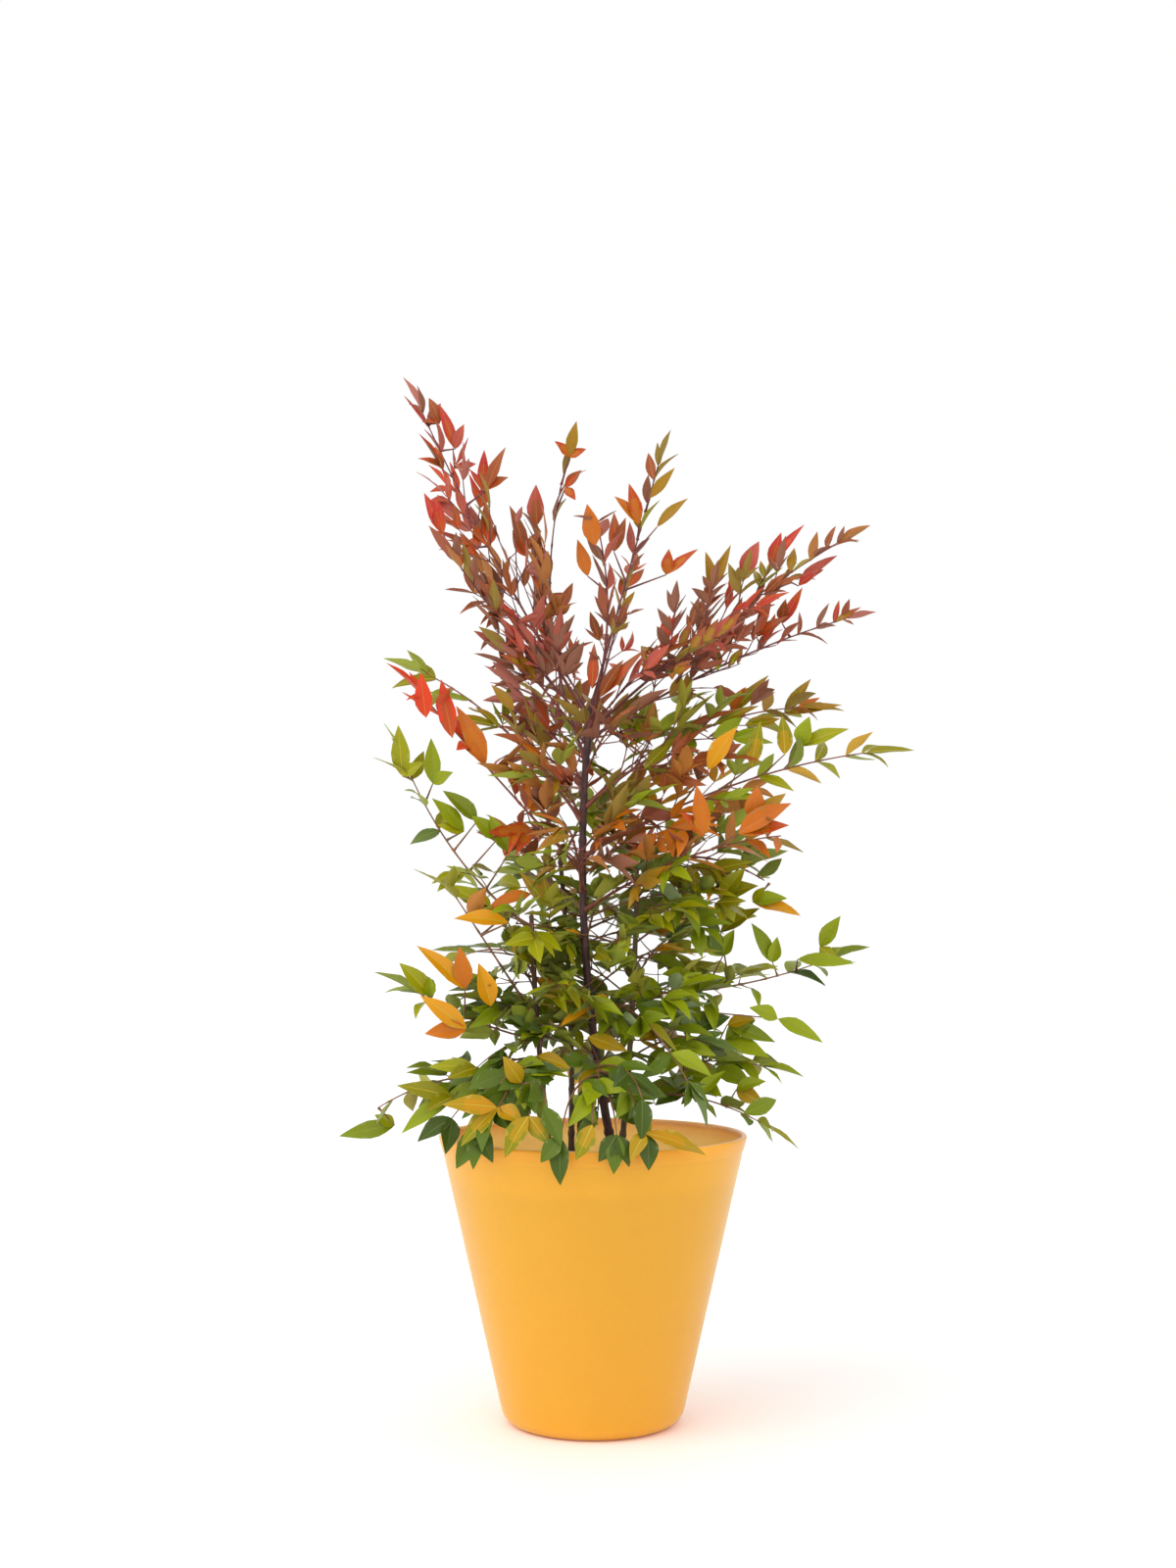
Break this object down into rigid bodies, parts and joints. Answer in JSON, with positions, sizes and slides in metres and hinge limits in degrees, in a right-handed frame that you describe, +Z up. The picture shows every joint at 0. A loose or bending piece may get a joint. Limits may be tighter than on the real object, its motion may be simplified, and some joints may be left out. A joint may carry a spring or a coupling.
{
  "type": "heavenly bamboo in a planter",
  "caption": "Potted evergreen shrub with slender upright canes, airy compound leaves from green to red, in a round tapered planter.",
  "frame": {"origin": "centre of the planter's flat underside", "axes": "+Z up along the canes, -Y towards the front, +X to the right seen from the front"},
  "size_m": [0.5627, 0.4484, 1.0341],
  "materials": {
    "pot": "satin",
    "soil": "crumbly",
    "cane": "bark",
    "stalk": "smooth",
    "leaves_top": "satin",
    "leaves_middle": "satin",
    "leaves_low": "satin"
  },
  "bodies": {
    "root": {"pot": "pot", "soil": "soil", "cane_main": "cane", "cane_right": "cane", "cane_left": "cane", "cane_back": "cane", "bough_crown_left_high": "stalk", "bough_crown_left": "stalk", "bough_crown_centre": "stalk", "bough_crown_front": "stalk", "bough_crown_right_high": "stalk", "bough_crown_right": "stalk", "bough_crown_right_low": "stalk", "bough_crown_back": "stalk", "bough_middle_left": "stalk", "bough_middle_left_high": "stalk", "bough_middle_right_high": "stalk", "bough_middle_right": "stalk", "bough_middle_right_low": "stalk", "bough_middle_front": "stalk", "bough_middle_back": "stalk", "bough_right_high": "stalk", "bough_back_high": "stalk", "bough_right_middle": "stalk", "bough_right_base": "stalk", "bough_left_high": "stalk", "bough_left_middle": "stalk", "bough_left_base": "stalk", "bough_back_left": "stalk", "bough_back_right": "stalk", "foliage_crown_left_high": "leaves_top", "foliage_crown_left": "leaves_top", "foliage_crown_centre": "leaves_top", "foliage_crown_front": "leaves_top", "foliage_crown_right_high": "leaves_top", "foliage_crown_right": "leaves_top", "foliage_crown_right_low": "leaves_top", "foliage_crown_back": "leaves_top", "foliage_middle_left": "leaves_middle", "foliage_middle_left_high": "leaves_middle", "foliage_middle_right_high": "leaves_middle", "foliage_middle_right": "leaves_middle", "foliage_middle_right_low": "leaves_middle", "foliage_middle_front": "leaves_middle", "foliage_middle_back": "leaves_middle", "foliage_right_high": "leaves_middle", "foliage_back_high": "leaves_middle", "foliage_right_middle": "leaves_low", "foliage_right_base": "leaves_low", "foliage_left_high": "leaves_low", "foliage_left_middle": "leaves_low", "foliage_left_base": "leaves_low", "foliage_back_left": "leaves_low", "foliage_back_right": "leaves_low", "foliage_right_low": "leaves_low", "foliage_left_low": "leaves_low", "foliage_front_left": "leaves_low", "foliage_front_low": "leaves_low", "foliage_front_right": "leaves_low", "foliage_back_low": "leaves_low"}
  },
  "joints": []
}
